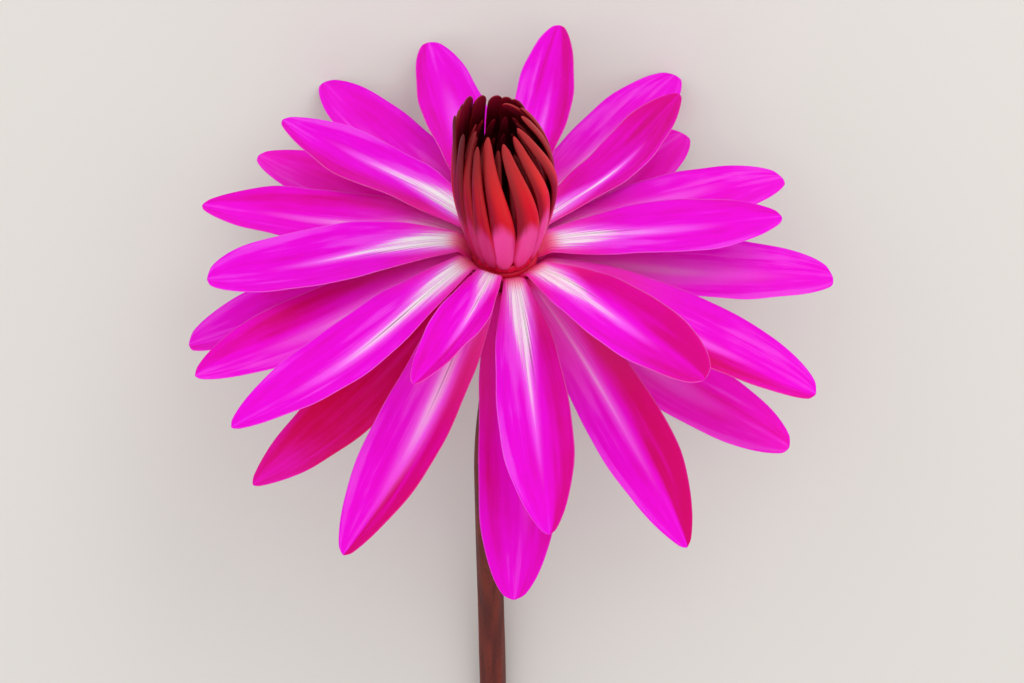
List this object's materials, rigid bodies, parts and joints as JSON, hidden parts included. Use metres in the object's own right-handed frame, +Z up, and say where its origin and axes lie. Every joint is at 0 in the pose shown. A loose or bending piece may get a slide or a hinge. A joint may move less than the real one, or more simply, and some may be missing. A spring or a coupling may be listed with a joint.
{
  "type": "lotus flower",
  "caption": "Cut red water lily in full bloom, lying on its back petals and stem: narrow magenta petals in rings round an upright cone of dark red stamens.",
  "frame": {"origin": "middle of the bounding box at the surface the flower lies on", "axes": "+Z up from the surface; -Y from the bloom towards the stem's cut end; the bloom's own axis leans towards +Y, 40 degrees above the surface"},
  "size_m": [0.1758, 0.2598, 0.1192],
  "materials": {
    "petal_upper": "magenta petal, white at the base with a pale midrib, satin",
    "petal_lower": "deeper magenta petal, pale at the base, satin",
    "sepal_red": "crimson sepal, satin",
    "stamen_red": "dark red to orange red, pink at the base, satin",
    "receptacle_rose": "rose red, smooth",
    "stigma_red": "dark red, matte",
    "stem_brown": "brown red, smooth"
  },
  "bodies": {
    "root": {"petal_inner_1": "petal_upper", "petal_inner_2": "petal_upper", "petal_inner_3": "petal_upper", "petal_inner_4": "petal_upper", "petal_inner_5": "petal_upper", "petal_inner_6": "petal_upper", "petal_inner_7": "petal_upper", "petal_inner_8": "petal_upper", "petal_inner_9": "petal_upper", "petal_inner_10": "petal_upper", "petal_middle_1": "petal_lower", "petal_middle_2": "petal_lower", "petal_middle_3": "petal_lower", "petal_middle_4": "petal_lower", "petal_middle_5": "petal_lower", "petal_middle_6": "petal_lower", "petal_middle_7": "petal_lower", "petal_middle_8": "petal_lower", "petal_outer_1": "petal_lower", "petal_outer_2": "petal_lower", "petal_outer_3": "petal_lower", "petal_outer_4": "petal_lower", "sepal_1": "sepal_red", "sepal_2": "sepal_red", "sepal_3": "sepal_red", "sepal_4": "sepal_red", "stamens_outer": "stamen_red", "stamens_middle": "stamen_red", "stamens_inner": "stamen_red", "receptacle": "receptacle_rose", "stigma_disc": "stigma_red", "stem": "stem_brown"}
  },
  "joints": []
}
